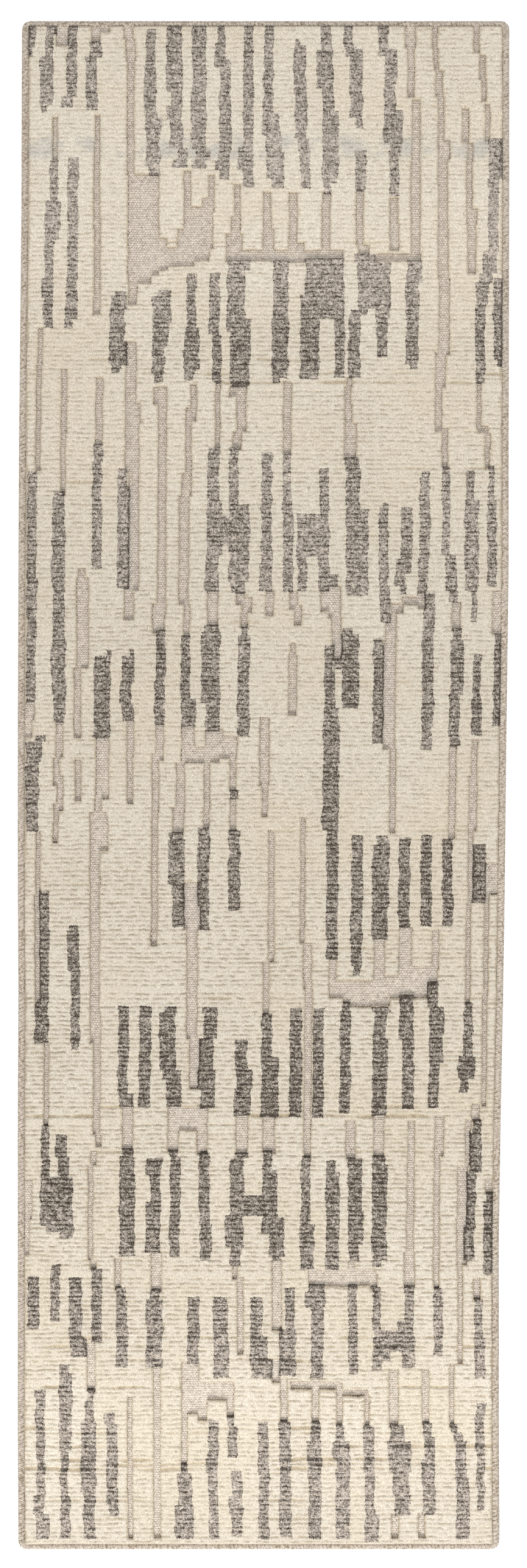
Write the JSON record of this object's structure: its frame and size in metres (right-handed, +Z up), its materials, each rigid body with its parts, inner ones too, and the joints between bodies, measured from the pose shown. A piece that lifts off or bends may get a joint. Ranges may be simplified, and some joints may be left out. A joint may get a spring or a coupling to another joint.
{
  "type": "runner rug",
  "caption": "Long hand-knotted wool runner with stepped vertical grey bars on an ivory cut pile, low flat-woven channels between them and overcast edges all round.",
  "frame": {"origin": "centre of the rug's outline, on the floor under its back", "axes": "+Y along the length, towards the end that the pattern's first row starts from; +X to the right with the pile up; +Z up out of the pile"},
  "size_m": [0.804, 2.5, 0.0136],
  "materials": {
    "ivory_wool": "matte",
    "grey_wool": "matte",
    "taupe_wool": "matte",
    "edge_wool": "matte",
    "cotton": "matte",
    "edge_cord": "matte",
    "knot_backs": "matte"
  },
  "bodies": {
    "root": {"ivory_pile_1": "ivory_wool", "ivory_pile_2": "ivory_wool", "ivory_pile_3": "ivory_wool", "ivory_pile_4": "ivory_wool", "ivory_pile_5": "ivory_wool", "ivory_pile_6": "ivory_wool", "ivory_pile_7": "ivory_wool", "ivory_pile_8": "ivory_wool", "ivory_pile_9": "ivory_wool", "grey_pile_1": "grey_wool", "grey_pile_2": "grey_wool", "grey_pile_3": "grey_wool", "grey_pile_4": "grey_wool", "grey_pile_5": "grey_wool", "grey_pile_6": "grey_wool", "grey_pile_7": "grey_wool", "grey_pile_8": "grey_wool", "grey_pile_9": "grey_wool", "flatweave_1": "taupe_wool", "flatweave_2": "taupe_wool", "flatweave_3": "taupe_wool", "flatweave_4": "taupe_wool", "flatweave_5": "taupe_wool", "flatweave_6": "taupe_wool", "flatweave_7": "taupe_wool", "flatweave_8": "taupe_wool", "flatweave_9": "taupe_wool", "upper_warps": "cotton", "weft_picks": "cotton", "lower_warps": "cotton", "woven_back": "knot_backs", "side_cord_left": "edge_cord", "side_cord_right": "edge_cord", "end_cord_top": "edge_cord", "end_cord_bottom": "edge_cord", "overcast_left": "edge_wool", "overcast_right": "edge_wool", "overcast_top": "edge_wool", "overcast_bottom": "edge_wool"}
  },
  "joints": []
}
